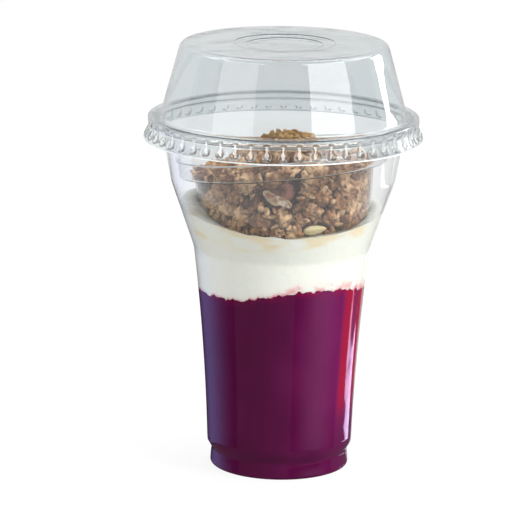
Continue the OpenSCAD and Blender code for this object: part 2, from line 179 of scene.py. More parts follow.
class FoodSizes(bpy.types.PropertyGroup):
    """Levels and grain of what the cup holds."""

    wet: size("Wetting", "How far puree and yogurt reach into the cup's wall that they wet", 0.25)
    berry_z: size("Puree line", "Height of the line between puree and yogurt at the back", 65.5)
    berry_rise: size("Puree rise", "How much higher that line rises at the front right", 5)
    yogurt_z: size("Yogurt edge", "Height at which the yogurt meets the cup at the sides", 95.5)
    yogurt_dip: size("Yogurt dip", "How much lower the yogurt stands at the front", 4.5)
    heap: size("Heap", "Height of the granola over the tub's rim", 6.4)
    heap_drop: size("Heap edge", "How far the heap's edge lies below the tub's rim", 5)
    heap_slant: size("Heap slant", "How much lower the heap's edge lies at the back right", 5.5)
    cluster: size("Cluster", "Usual diameter of one granola cluster", 6.6)
    seed_len: size("Seed", "Length of the pumpkin seed", 8.6)
    nut_len: size("Nut", "Length of the nut kernel", 11.5)


class Colours(bpy.types.PropertyGroup):
    """Colours of the clear plastic, the food and the stage."""

    clear: tint("Clear plastic", "Tint of the cup and the tub", 0.982, 0.988, 0.988)
    smoke: tint("Lid plastic", "Tint of the lid", 0.80, 0.836, 0.848)
    # The cut edge's pale colour is partly haze and partly a painted highlight.
    edge: tint("Cut edge", "Bright cut edge of the plastic", 0.86, 0.90, 0.90)
    berry: tint("Puree", "Main colour of the puree", 0.098, 0.0035, 0.050)
    # The paler colour serves random paler patches, and also painted light on the puree's front right.
    berry_pale_and_lit: tint("Puree, paler", "Colour where more yogurt is stirred in", 0.185, 0.0145, 0.106)
    # This red serves painted highlight streaks on the front right, and a redder edge along the puree's
    # top line.
    berry_red: tint("Puree, thin", "Redder colour where the puree is thin", 0.36, 0.008, 0.052)
    yogurt: tint("Yogurt", "Main colour of the yogurt", 0.83, 0.84, 0.78)
    smear: tint("Smear", "Honey smears in the yogurt", 0.82, 0.74, 0.56)
    stain: tint("Stain", "Puree drawn into the yogurt's lower edge", 0.74, 0.20, 0.24)
    toast: tint("Toast", "Well toasted granola", 0.085, 0.030, 0.014)
    oat: tint("Oat", "Mean colour of the oats", 0.43, 0.205, 0.095)
    peak: tint("Peak", "Golden clusters at the heap's peak", 0.42, 0.21, 0.04)
    honey: tint("Honey", "Palest oats", 0.88, 0.58, 0.33)
    seed: tint("Seed", "Pumpkin seed", 0.80, 0.70, 0.40)
    nut: tint("Nut skin", "Skin of the nut", 0.28, 0.12, 0.085)
    kernel: tint("Nut flesh", "Broken face of the nut", 0.88, 0.80, 0.66)
    floor: tint("Floor", "The floor's colour", 0.9, 0.9, 0.9)


GROUPS = (
    ("cup_sizes", CupSizes, "Cup"), ("lid_sizes", LidSizes, "Lid"), ("tub_sizes", TubSizes, "Tub"),
    ("food_sizes", FoodSizes, "Food"), ("cup_colours", Colours, "Colours"))


# Outlines and plain geometry

def polar(radius, angle, z=0.0):
    return Vector((radius * math.cos(angle), radius * math.sin(angle), z))


def mix(a, b, t):
    return a + (b - a) * t


def ramp(x, low, high):
    """0 below low, 1 above high and smooth between them."""
    t = min(1.0, max(0.0, (x - low) / (high - low)))
    return t * t * (3 - 2 * t)


def rounded(corners, steps):
    """An outline through corners of (radius, height, length that the rounding takes off each side)."""
    points = []
    for i, (r, z, cut) in enumerate(corners):
        here = Vector((r, z))
        if cut == 0 or i in (0, len(corners) - 1):
            points.append(here)
            continue
        before = (Vector(corners[i - 1][:2]) - here).normalized() * cut
        after = (Vector(corners[i + 1][:2]) - here).normalized() * cut
        for k in range(steps + 1):
            t = k / steps
            points.append(here + before * (1 - t) ** 2 + after * t ** 2)
    return points


def arc(centre, radius, start, end, steps):
    """Points on a circle round centre, from angle start to end in degrees."""
    points = []
    for k in range(steps + 1):
        a = math.radians(mix(start, end, k / steps))
        points.append(Vector((centre[0] + radius * math.cos(a), centre[1] + radius * math.sin(a))))
    return points


def spread(points, longest):
    """The same outline with long straight stretches split into pieces no longer than longest."""
    result = [points[0]]
    for a, b in zip(points, points[1:]):
        count = max(1, math.ceil((b - a).length / longest))
        result += [a.lerp(b, (k + 1) / count) for k in range(count)]
    return result


def inset_line(points, inset):
    """An outline that runs outwards and up, moved towards the cup's inside."""
    moved = []
    for i, here in enumerate(points):
        before = (here - points[max(i - 1, 0)]).normalized()
        after = (points[min(i + 1, len(points) - 1)] - here).normalized()
        along = (before + after).normalized()
        moved.append(here + Vector((-along.y, along.x)) * inset)
    return moved


# Modelling steps with Blender's own tools

def object_mode():
    bpy.ops.object.mode_set(mode="OBJECT")


def edit_mode():
    """Edit mode, with everything selected."""
    bpy.ops.object.mode_set(mode="EDIT")
    bpy.ops.mesh.select_all(action="SELECT")


def deselect():
    if bpy.context.object and bpy.context.object.mode != "OBJECT":
        object_mode()
    bpy.ops.object.select_all(action="DESELECT")


def activate(piece):
    deselect()
    piece.select_set(True)
    bpy.context.view_layer.objects.active = piece


def named(name):
    """The primitive that was added last, under its name."""
    piece = bpy.context.object
    piece.name = name
    piece.data.name = name
    return piece


def draw_outline(name, points):
    """A piece that holds one chain of edges in the XZ plane, through points of (radius, height)."""
    deselect()
    bpy.ops.mesh.primitive_plane_add(size=MM, location=(points[0].x, 0, points[0].y))
    piece = named(name)
    bpy.ops.object.transform_apply(location=True, rotation=True, scale=True)
    edit_mode()
    bpy.ops.mesh.merge(type="CENTER")
    for a, b in zip(points, points[1:]):
        step = (b.x - a.x, 0, b.y - a.y)
        bpy.ops.mesh.extrude_vertices_move(TRANSFORM_OT_translate={"value": step})
    bpy.ops.mesh.select_all(action="SELECT")
    return piece


def spin(steps, angle=FULL_TURN, copies=False):
    """Turns what is selected round the Z axis, as a skin or as copies."""
    bpy.ops.mesh.spin(steps=steps, angle=angle, dupli=copies, center=(0, 0, 0), axis=(0, 0, 1))


def close_round():
    """Merges what a full turn leaves double and points the faces outwards. Works in edit mode."""
    bpy.ops.mesh.select_all(action="SELECT")
    bpy.ops.mesh.remove_doubles(threshold=2e-6)
    bpy.ops.mesh.dissolve_degenerate(threshold=1e-7)
    bpy.ops.mesh.normals_make_consistent(inside=False)
    object_mode()


def spin_outline(name, points, steps):
    """A surface of revolution through points of (radius, height)."""
    piece = draw_outline(name, points)
    spin(steps)
    close_round()
    return piece


def gather(offset, held=0.7, drawn=0.6):
    """Draws the columns of a sector together round its middle, where its flute or rib lies."""
    if offset < held:
        return offset / held * drawn
    return mix(drawn, 1, (offset - held) / (1 - held))


def spin_sector(name, points, sectors, columns, press):
    """A surface of revolution made of like sectors, each shaped by press(radius, angle, height)."""
    piece = draw_outline(name, points)
    angle = FULL_TURN / sectors
    spin(columns, angle)
    object_mode()
    for vertex in piece.data.vertices:
        co = vertex.co
        radius = math.hypot(co.x, co.y)
        if radius > 1e-6:
            signed = math.atan2(co.y, co.x)
            offset = 2 * abs(signed) / angle - 1
            offset = math.copysign(gather(abs(offset)), offset)
            moved = press(radius, offset * angle / 2, co.z)
            vertex.co = polar(moved, math.copysign((1 + offset) * angle / 2, signed), co.z)
    edit_mode()
    spin(sectors, copies=True)
    close_round()
    return piece


def thicken(piece, wall, offset=-1):
    """Gives a skin its thickness: inwards from the outer face, or to both sides with offset 0."""
    shell = piece.modifiers.new("Wall", "SOLIDIFY")
    shell.thickness = wall
    shell.offset = offset
    shell.use_even_offset = offset != 0
    bpy.ops.object.modifier_apply(modifier=shell.name)


def face_outwards(piece):
    """Makes a spun skin active, and turns it round if its faces point towards the axis."""
    activate(piece)
    if sum(face.area * face.normal.xy.dot(face.center.xy) for face in piece.data.polygons) < 0:
        edit_mode()
        bpy.ops.mesh.flip_normals()
        object_mode()


def smooth(piece, degrees=40):
    activate(piece)
    bpy.ops.object.shade_smooth_by_angle(angle=math.radians(degrees))


def move_mesh(piece, matrix):
    """Places a piece through its own mesh, so that its object stays at the origin."""
    activate(piece)
    piece.matrix_world = matrix
    bpy.ops.object.transform_apply(location=True, rotation=True, scale=True)


def set_values(piece, name, values):
    """Stores one number per vertex, for a material to read."""
    layer = piece.data.attributes.new(name, "FLOAT", "POINT")
    layer.data.foreach_set("value", values)


def hand_over(piece, body, slot, material, *nodes):
    """Gives a finished piece its material and its place in the frame."""
    piece.data.materials.clear()
    piece.data.materials.append(material)
    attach(piece, body)
    if nodes:
        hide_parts(*nodes)


def edge_faces(piece, material, chosen):
    """Gives the faces that chosen(centre) picks a material of their own."""
    piece.data.materials.append(material)
    for face in piece.data.polygons:
        if chosen(face.center):
            face.material_index = 1


# Forms that several pieces share

def neck_height(cup):
    """Height at which the cup's wall ends and turns out to its rim."""
    return cup.height - cup.bead_d - NECK_DROP


def cup_radius(cup, z):
    """Outer radius of the cup's wall between its lip and its rim."""
    start_z = cup.lip_z + LIP_RISE
    start_r = cup.lip_d / 2 + 0.05 * MM
    if z < cup.knee_z:
        t = (z - start_z) / (cup.knee_z - start_z)
        return mix(start_r, cup.knee_d / 2, t) - cup.bow * 4 * t * (1 - t)
    if z < cup.band_z:
        return mix(cup.knee_d, cup.band_d, (z - cup.knee_z) / (cup.band_z - cup.knee_z)) / 2
    rise = (z - cup.band_z) / (neck_height(cup) - cup.band_z)
    return mix(cup.band_d, cup.mouth_d, rise) / 2


def foot_outline(cup):
    """The cup's outline from the middle of its bottom to the lip."""
    foot_r = cup.foot_d / 2
    return rounded([
        (0, cup.panel_z, 0),
        (foot_r - 4.9 * MM, cup.panel_z, 1.2 * MM),
        (foot_r - 3.1 * MM, 0, 1.0 * MM),
        (foot_r, 0, 1.3 * MM),
        (foot_r - cup.groove, cup.lip_z - 3.4 * MM, 0.9 * MM),
        (cup.lip_d / 2, cup.lip_z - 0.6 * MM, 1.1 * MM)], 5)


def body_outline(cup):
    """The cup's outline from the lip to the neck."""
    start_z = cup.lip_z + LIP_RISE
    levels = [mix(start_z, cup.knee_z - 1.5 * MM, k / 14) for k in range(15)]
    points = [Vector((cup_radius(cup, z), z)) for z in levels]
    knee = (cup.knee_d / 2, cup.knee_z, 1.4 * MM)
    band = (cup.band_d / 2, cup.band_z, 1.6 * MM)
    neck = (cup.mouth_d / 2, neck_height(cup), 0)
    upper = rounded([(*points[-1], 0), knee, band, neck], 5)
    return points[:-1] + spread(upper, 4 * MM)


def tub_radius(tub, h):
    """Outer radius of the tub's wall under its band, at height h over its bottom."""
    step_r = tub.rim_d / 2 - tub.lip - tub.band_taper - tub.ledge
    wall = mix(step_r - tub.taper, step_r, h / (tub.height - tub.band_h))
    c = tub.corner
    if h >= c:
        return wall
    return wall - c + math.sqrt(max(0, c * c - (c - h) ** 2))


def tub_place(tub):
    """Where the tub stands in the cup, as a matrix from the tub's own frame."""
    return (
        Matrix.Translation((tub.shift, 0, tub.rim_z))
        @ Matrix.Rotation(-tub.lean_right, 4, "Y")
        @ Matrix.Rotation(-tub.lean_front, 4, "X")
        @ Matrix.Translation((0, 0, -tub.height)))


def ragged(place, roughness, octaves):
    """Uneven height between about -1 and 1 at a place along a line."""
    return noise.fractal(place, roughness, 2.0, octaves, noise_basis="PERLIN_ORIGINAL")


def berry_line(food, angle):
    """Height of the line between puree and yogurt, highest at the front right."""
    level = food.berry_z + food.berry_rise * max(0.0, math.cos(angle + math.radians(64))) ** 3
    return level + 1.0 * MM * ragged(polar(12.0, angle), 0.6, 4)


def yogurt_line(food, angle):
    """Height at which the yogurt meets the cup."""
    dip = food.yogurt_dip * max(0.0, -math.sin(angle)) ** 2
    return (food.yogurt_z - MM * math.cos(angle) - dip
            + 0.5 * MM * ragged(polar(4.0, angle, 3.0), 0.7, 3))


# Materials

def feed(tree, socket, value):
    """Gives an input a number or a colour, or links it to an output or a node's first output."""
    if isinstance(value, bpy.types.Node):
        value = value.outputs[0]
    if isinstance(value, bpy.types.NodeSocket):
        tree.links.new(value, socket)
    elif socket.type == "RGBA":
        socket.default_value = (*value, 1)
    else:
        socket.default_value = value


def add_node(tree, kind, inputs=None, **settings):
    """One node with its settings and with what feeds its inputs, by name or number."""
    node = tree.nodes.new(kind)
    for name, value in settings.items():
        setattr(node, name, value)
    for key, value in (inputs or {}).items():
        feed(tree, node.inputs[key], value)
    return node


def new_material(name):
    """A fresh material and its empty node tree."""
    material = bpy.data.materials.new(name)
    material.use_nodes = True
    material.node_tree.nodes.clear()
    return material, material.node_tree


def end_in(tree, shader):
    """Ends a material's nodes in this shader."""
    add_node(tree, "ShaderNodeOutputMaterial", {"Surface": shader})


def principled(tree, **values):
    """The main shader, with its inputs by name, underscores for spaces."""
    inputs = {name.replace("_", " "): value for name, value in values.items()}
    return add_node(tree, "ShaderNodeBsdfPrincipled", inputs)


def mix_shaders(tree, mask, first, second):
    return add_node(tree, "ShaderNodeMixShader", {"Fac": mask, 1: first, 2: second})


def mottle_group():
    """Mask of soft cloudy patches, shared by the food and the plastic."""
    name = "Mottle"
    if name in bpy.data.node_groups:
        return bpy.data.node_groups[name]
    group = bpy.data.node_groups.new(name, "ShaderNodeTree")
    defaults = {"Scale": 200.0, "Detail": 4.0, "Low": 0.35, "High": 0.65, "Height": 1.0}
    for socket, default in defaults.items():
        entry = group.interface.new_socket(socket, in_out="INPUT", socket_type="NodeSocketFloat")
        entry.default_value = default
    for socket in ("Mask", "Raw"):
        group.interface.new_socket(socket, in_out="OUTPUT", socket_type="NodeSocketFloat")
    given = add_node(group, "NodeGroupInput").outputs
    place = add_node(group, "ShaderNodeTexCoord").outputs["Object"]
    stretch = add_node(group, "ShaderNodeCombineXYZ", {"X": 1, "Y": 1, "Z": given["Height"]})
    scaled = add_node(group, "ShaderNodeVectorMath", {0: place, 1: stretch}, operation="MULTIPLY")
    cloud = add_node(group, "ShaderNodeTexNoise", {
        "Vector": scaled, "Scale": given["Scale"], "Detail": given["Detail"]})
    levels = {"Value": cloud, "From Min": given["Low"], "From Max": given["High"]}
    edge = add_node(group, "ShaderNodeMapRange", levels, interpolation_type="SMOOTHSTEP")
    add_node(group, "NodeGroupOutput", {"Mask": edge, "Raw": cloud})
    return group


def mottle(tree, scale, low=0.35, high=0.65, detail=4.0, height=1.0):
    """One use of the Mottle group; height stretches it along Z."""
    inputs = {"Scale": scale, "Low": low, "High": high, "Detail": detail, "Height": height}
    return add_node(tree, "ShaderNodeGroup", inputs, node_tree=mottle_group())


def blend_colour(tree, first, second, mask):
    """Mixes two colours, each plain or the output of a node, by a mask."""
    node = add_node(tree, "ShaderNodeMix", {0: mask, 6: first, 7: second}, data_type="RGBA")
    return node.outputs[2]


def read_value(tree, name):
    """The piece's own number of that name, as a socket."""
    return add_node(tree, "ShaderNodeAttribute", attribute_name=name).outputs["Fac"]


def combine(tree, operation, *values):
    """One sum of sockets and plain numbers, kept between 0 and 1 unless it is a MULTIPLY_ADD."""
    return add_node(
        tree, "ShaderNodeMath", dict(enumerate(values)),
        operation=operation, use_clamp=operation != "MULTIPLY_ADD")


def add_bump(tree, shader, height, distance):
    """Fine relief of this depth on a shader."""
    bump = add_node(tree, "ShaderNodeBump", {"Height": height, "Distance": distance})
    feed(tree, shader.inputs["Normal"], bump)


def clear_plastic(name, colour, roughness, ripple):
    """Clear thermoformed plastic: drawn ripples, gloss, and shadows that let most light through."""
    material, tree = new_material(name)
    shader = principled(
        tree, Base_Color=colour, Roughness=roughness, IOR=1.5, Transmission_Weight=1)
    waves = mottle(tree, 90, 0.3, 0.7, detail=1.5, height=0.35)
    add_bump(tree, shader, waves.outputs["Raw"], ripple)
    path = add_node(tree, "ShaderNodeLightPath")
    clear = add_node(tree, "ShaderNodeBsdfTransparent", {"Color": [mix(c, 1, 0.5) for c in colour]})
    end_in(tree, mix_shaders(tree, path.outputs["Is Shadow Ray"], shader, clear))
    return material


def edge_haze_and_highlight(colours):
    """Hazy plastic along a cut edge, its pale colour partly haze and partly a painted highlight."""
    name = "Cut edge"
    if name in bpy.data.materials:
        return bpy.data.materials[name]
    material, tree = new_material(name)
    haze = mottle(tree, 300, 0.2, 0.8, detail=2)
    soft = combine(tree, "MULTIPLY_ADD", haze, 0.2, 0.3)
    end_in(tree, principled(tree, Base_Color=colours.edge, Roughness=soft, Transmission_Weight=0.35))
    return material


def berry_material(colours):
    """Wet dark puree: soft patches, painted light that makes its front right paler, painted highlight
    streaks in red, and redder near its top line.
    """
    material, tree = new_material("Berry puree")
    patches = mottle(tree, 70, 0.25, 0.8, detail=3, height=0.6)
    # Random paler patches, plus the vertex number "pale", which paints light on the front right side.
    amount = combine(tree, "MULTIPLY_ADD", patches, 0.35, -0.17)
    amount = combine(tree, "ADD", read_value(tree, "pale"), amount)
    base = blend_colour(tree, colours.berry, colours.berry_pale_and_lit, amount)
    # Red streaks that paint highlights on the front right of the puree.
    thin = blend_colour(tree, base, colours.berry_red, read_value(tree, "painted_highlight"))
    near = combine(tree, "MULTIPLY", read_value(tree, "near_line"), mottle(tree, 260, 0.3, 0.7))
    top = blend_colour(tree, thin, colours.berry_red, near)
    end_in(tree, principled(tree, Base_Color=top, Roughness=0.35, Specular_IOR_Level=0.03))
    return material


def yogurt_material(colours):
    """Thick satin yogurt with honey smears, and puree drawn into its lower edge."""
    material, tree = new_material("Yogurt")
    smears = mottle(tree, 80, 0.46, 0.66, detail=3, height=2.8)
    fine = mottle(tree, 330, 0.35, 0.7, detail=5)
    amount = combine(tree, "MULTIPLY", smears, read_value(tree, "smear"))
    pale = blend_colour(tree, colours.yogurt, colours.smear, amount)
    pull = combine(tree, "MULTIPLY", fine, read_value(tree, "stain"))
    base = blend_colour(tree, pale, colours.stain, pull)
    shader = principled(
        tree, Base_Color=base, Roughness=0.42, Specular_IOR_Level=0.06, Subsurface_Weight=0.25,
        Subsurface_Radius=(1.0, 0.9, 0.75), Subsurface_Scale=0.003)
    add_bump(tree, shader, fine.outputs["Raw"], 0.0002)
    end_in(tree, shader)
    return material


def granola_material(colours):
    """Toasted oats: each cluster has its own tone, golden past 1, with flecks and crumbs."""
    material, tree = new_material("Granola")
    flecks = mottle(tree, 620, 0.36, 0.58, detail=6)
    patches = mottle(tree, 170, 0.36, 0.66, detail=3)
    own = read_value(tree, "tone")
    tone = combine(tree, "MULTIPLY_ADD", patches, 0.5, own)
    scale = add_node(tree, "ShaderNodeValToRGB", {"Fac": tone})
    stops = scale.color_ramp.elements
    stops.new(0.45)
    for stop, place, colour in zip(
            stops, (0.05, 0.45, 0.95), (colours.toast, colours.oat, colours.honey)):
        stop.position = place
        stop.color = (*colour, 1)
    gilded = blend_colour(tree, scale, colours.peak, combine(tree, "ADD", own, -1.0))
    dark = [c * 0.4 for c in colours.toast]
    grain = combine(tree, "MULTIPLY_ADD", flecks, 0.6, 0.4)
    shader = principled(tree, Base_Color=blend_colour(tree, dark, gilded, grain), Roughness=0.62)
    add_bump(tree, shader, flecks.outputs["Raw"], 0.0005)
    end_in(tree, shader)
    return material


def seed_material(name, first, second, scale):
    """Satin seed or nut with soft streaks of a second colour."""
    material, tree = new_material(name)
    streaks = mottle(tree, scale, 0.4, 0.7, detail=3)
    base = blend_colour(tree, first, second, streaks)
    shader = principled(tree, Base_Color=base, Roughness=0.4)
    add_bump(tree, shader, streaks.outputs["Raw"], 0.0001)
    end_in(tree, shader)
    return material


# Operators, one for each piece or group of like pieces

class DESSERT_OT_cup(bpy.types.Operator):
    """Clear cup: foot, grooved lip, slim body, shoulder cone, band and rolled rim"""

    bl_idname = "dessert.cup"
    bl_label = "Cup"

    def execute(self, context):
        cup, colours = context.scene.cup_sizes, context.scene.cup_colours
        bead_r = cup.bead_d / 2
        bead = (cup.rim_d / 2 - bead_r, cup.height - bead_r)
        bend_r = 1.6 * MM
        bend = (cup.mouth_d / 2 + bend_r, neck_height(cup) + 0.4 * MM)
        turn_out = arc(bend, bend_r, 180, 112, 6)
        curl = arc(bead, bead_r - cup.wall, 90, -150, 14)
        line = foot_outline(cup) + body_outline(cup) + turn_out + curl
        piece = spin_outline("cup_wall", spread(line, STRETCH), CUP_STEPS)
        face_outwards(piece)
        thicken(piece, cup.wall)
        smooth(piece)
        plastic = clear_plastic("Cup plastic", colours.clear, 0.02, 0.00006)
        hand_over(piece, "cup", "cup_plastic", plastic, "cup")
        return {"FINISHED"}


class DESSERT_OT_lid(bpy.types.Operator):
    """Clear dome lid with ring steps in its top, a flange, a snap neck and a fluted skirt"""

    bl_idname = "dessert.lid"
    bl_label = "Lid"

    def execute(self, context):
        lid, colours = context.scene.lid_sizes, context.scene.cup_colours
        flange_z = lid.top_z - lid.dome_h
        neck_z = flange_z - lid.neck_drop
        low = lid.top_z - 2 * lid.ring_step
        ring = 0.25 * MM
        line = rounded([
            (0, low, 0),
            (lid.ring_in_d / 2, low, ring),
            (lid.ring_in_d / 2 + lid.ring_step, low + lid.ring_step, ring),
            (lid.ring_out_d / 2, low + lid.ring_step, ring),
            (lid.ring_out_d / 2 + lid.ring_step, lid.top_z, ring),
            (lid.dome_top_d / 2, lid.top_z, lid.corner * 0.75),
            (lid.dome_base_d / 2, flange_z, 0.9 * MM),
            (lid.flange_d / 2, flange_z, 0.75 * MM),
            (lid.flange_d / 2, neck_z + 1.2 * MM, 0.4 * MM),
            (lid.neck_d / 2, neck_z, 0.6 * MM),
            (lid.skirt_d / 2 - 0.2 * MM, lid.skirt_z + 1.1 * MM, 0.3 * MM),
            (lid.skirt_d / 2, lid.skirt_z, 0)], 4)
        top = flange_z - lid.flute_drop
        foot = top - lid.flute_h
        groove = lid.flute_w / 2
        axis_r = lid.neck_d / 2 + 0.05 * MM + groove
        narrowing = 0.16

        def press(radius, angle, z):
            """Radius of the skirt where a flute with a rounded lower end is pressed into it."""
            if z > top + RUN_OUT or z < foot - RUN_OUT or radius < lid.neck_d / 2 - MM:
                return radius
            across = abs(angle) * radius
            half = groove * (1 - narrowing * (top - z) / lid.flute_h)
            down = foot + groove - z
            if down > 0:
                half = math.sqrt(max(0.0, half * half - down * down * 0.9))
            if across >= half or half <= 0:
                return radius
            floor = axis_r - math.sqrt(max(0.0, groove * groove - across * across))
            edge = ramp(half - across, 0, 0.2 * MM) * ramp(top + RUN_OUT - z, 0, 2 * RUN_OUT)
            return mix(radius, min(radius, floor), edge)

        dome = [p for p in line if p.y >= top + RUN_OUT]
        skirt = [p for p in line if p.y < top + RUN_OUT]
        points = spread(dome, STRETCH) + spread(skirt, 0.55 * MM)
        piece = spin_sector("lid_dome", points, lid.flutes, 12, press)
        face_outwards(piece)
        thicken(piece, lid.wall)
        smooth(piece, 50)
        plastic = clear_plastic("Lid plastic", colours.smoke, 0.025, 0.00008)
        hand_over(piece, "lid", "lid_plastic", plastic, "lid")
        # The skirt's lower edge gets the hazy edge with its painted highlight.
        edge_faces(piece, edge_haze_and_highlight(colours), lambda c: c.z < lid.skirt_z + 0.42 * MM)
        return {"FINISHED"}


class DESSERT_OT_tub(bpy.types.Operator):
    """Clear drop-in tub with a wide band, denesting ribs and a rounded bottom"""

    bl_idname = "dessert.tub"
    bl_label = "Granola tub"

    def execute(self, context):
        tub, colours = context.scene.tub_sizes, context.scene.cup_colours
        band_z = tub.height - tub.band_h
        rim_r = tub.rim_d / 2 - tub.lip
        step_r = tub_radius(tub, band_z)
        under = tub.height - tub.wall
        line = rounded([
            (0, 0, 0),
            (step_r - tub.taper, 0, tub.corner * 0.85),
            (step_r, band_z, 0.7 * MM),
            (rim_r - tub.band_taper, band_z, 0.9 * MM),
            (rim_r, under, 0.25 * MM),
            (tub.rim_d / 2, under, 0)], 7)
        rib_low = band_z + 2.8 * MM
        rib_high = tub.height - 1.6 * MM
        rib_r = tub.rib_d / 2

        def press(radius, angle, z):
            """Radius of the band where a small rounded rib stands out of it."""
            if z < rib_low - RUN_OUT or z > rib_high + RUN_OUT or radius < rim_r - 0.5 * MM:
                return radius
            across = abs(angle) * radius
            swell = math.sqrt(max(0.0, 1 - (across / rib_r) ** 2))
            ends = ramp(z, rib_low - RUN_OUT, rib_low + RUN_OUT)
            ends *= 1 - ramp(z, rib_high - RUN_OUT, rib_high + RUN_OUT)
            return radius + tub.rib_out * swell * ends

        low = [p for p in line if p.y < band_z + MM]
        band = [p for p in line if p.y >= band_z + MM]
        points = spread(low, 4 * MM) + spread(band, 0.4 * MM)
        piece = spin_sector("tub_wall", points, tub.ribs, 10, press)
        face_outwards(piece)
        thicken(piece, tub.wall)
        smooth(piece, 50)
        plastic = clear_plastic("Tub plastic", colours.clear, 0.02, 0.00005)
        hand_over(piece, "cup", "tub_plastic", plastic, "granola_tub")
        lip_r = rim_r + 0.25 * MM
        # The tub's rim edge gets the hazy edge with its painted highlight.
        edge_faces(piece, edge_haze_and_highlight(colours), lambda c: c.xy.length > lip_r and c.z > under)
        move_mesh(piece, tub_place(tub))
        return {"FINISHED"}


class DESSERT_OT_berry(bpy.types.Operator):
    """Dark berry puree that fills the slim body up to its ragged line"""

    bl_idname = "dessert.berry"
    bl_label = "Berry puree"

    # Rows that follow the ragged line, one to a millimetre, and rings that close the top
    ROWS, RINGS = 8, 12
    # Bearings in degrees, -90 in front and 0 at the right: where the two painted highlight streaks
    # start and end
    HIGHLIGHT_STREAKS = ((-42, -38, -29, -27), (-25, -23, -14, -8))

    def execute(self, context):
        cup, food = context.scene.cup_sizes, context.scene.food_sizes
        inset = cup.wall - food.wet
        start_z = food.berry_z - 4 * MM
        start_r = cup_radius(cup, start_z)
        rise = self.ROWS * MM
        skin = foot_outline(cup) + [p for p in body_outline(cup) if p.y < start_z - MM]
        skin.append(Vector((start_r, start_z)))
        low = [Vector((max(0, p.x), p.y)) for p in inset_line(spread(skin, STRETCH), inset)]
        side = [Vector((start_r - inset, start_z + (k + 1) * MM)) for k in range(self.ROWS)]
        reach = [1 - (k + 1) / self.RINGS for k in range(self.RINGS)]
        top = [Vector((share * start_r, start_z + rise)) for share in reach]
        piece = spin_outline("berry_puree", low + side + top, FOOD_STEPS)
        near, pale, painted_highlight = [], [], []
        for vertex in piece.data.vertices:
            co = vertex.co
            angle = math.atan2(co.y, co.x)
            line = berry_line(food, angle)
            if co.z > start_z + 0.5 * MM:
                inner = math.hypot(co.x, co.y) / start_r
                share_up = (co.z - start_z) / rise
                z = mix(start_z, line, share_up)
                if share_up > 0.99:
                    z = mix(food.berry_z, line, inner)
                scale = (cup_radius(cup, z) - inset) / (start_r - inset) if inner > 0.9 else 1
                co.x *= scale
                co.y *= scale
                co.z = z
            bearing = math.degrees(angle)
            near.append((0.2 + 0.6 * ramp(bearing, -105, -60)) * ramp(co.z, line - 3.2 * MM, line))
            # Painted light: paler on the front right, where the key lamp falls, and less so towards the
            # bottom.
            raised = mix(0.15, 1.0, ramp(co.z, 4 * MM, 40 * MM))
            pale.append(raised * ramp(bearing, -100, -38) * (1 - ramp(bearing, 20, 120)))
            # Painted highlight: two vertical red streaks on the front right, from about 18 mm up.
            streak = sum(ramp(bearing, a, b) * (1 - ramp(bearing, c, d)) for a, b, c, d in self.HIGHLIGHT_STREAKS)
            painted_highlight.append(streak * ramp(co.z, 18 * MM, 30 * MM))
        set_values(piece, "near_line", near)
        set_values(piece, "pale", pale)
        set_values(piece, "painted_highlight", painted_highlight)
        smooth(piece, 60)
        puree = berry_material(context.scene.cup_colours)
        hand_over(piece, "cup", "berry_puree", puree, "berry_layer")
        return {"FINISHED"}


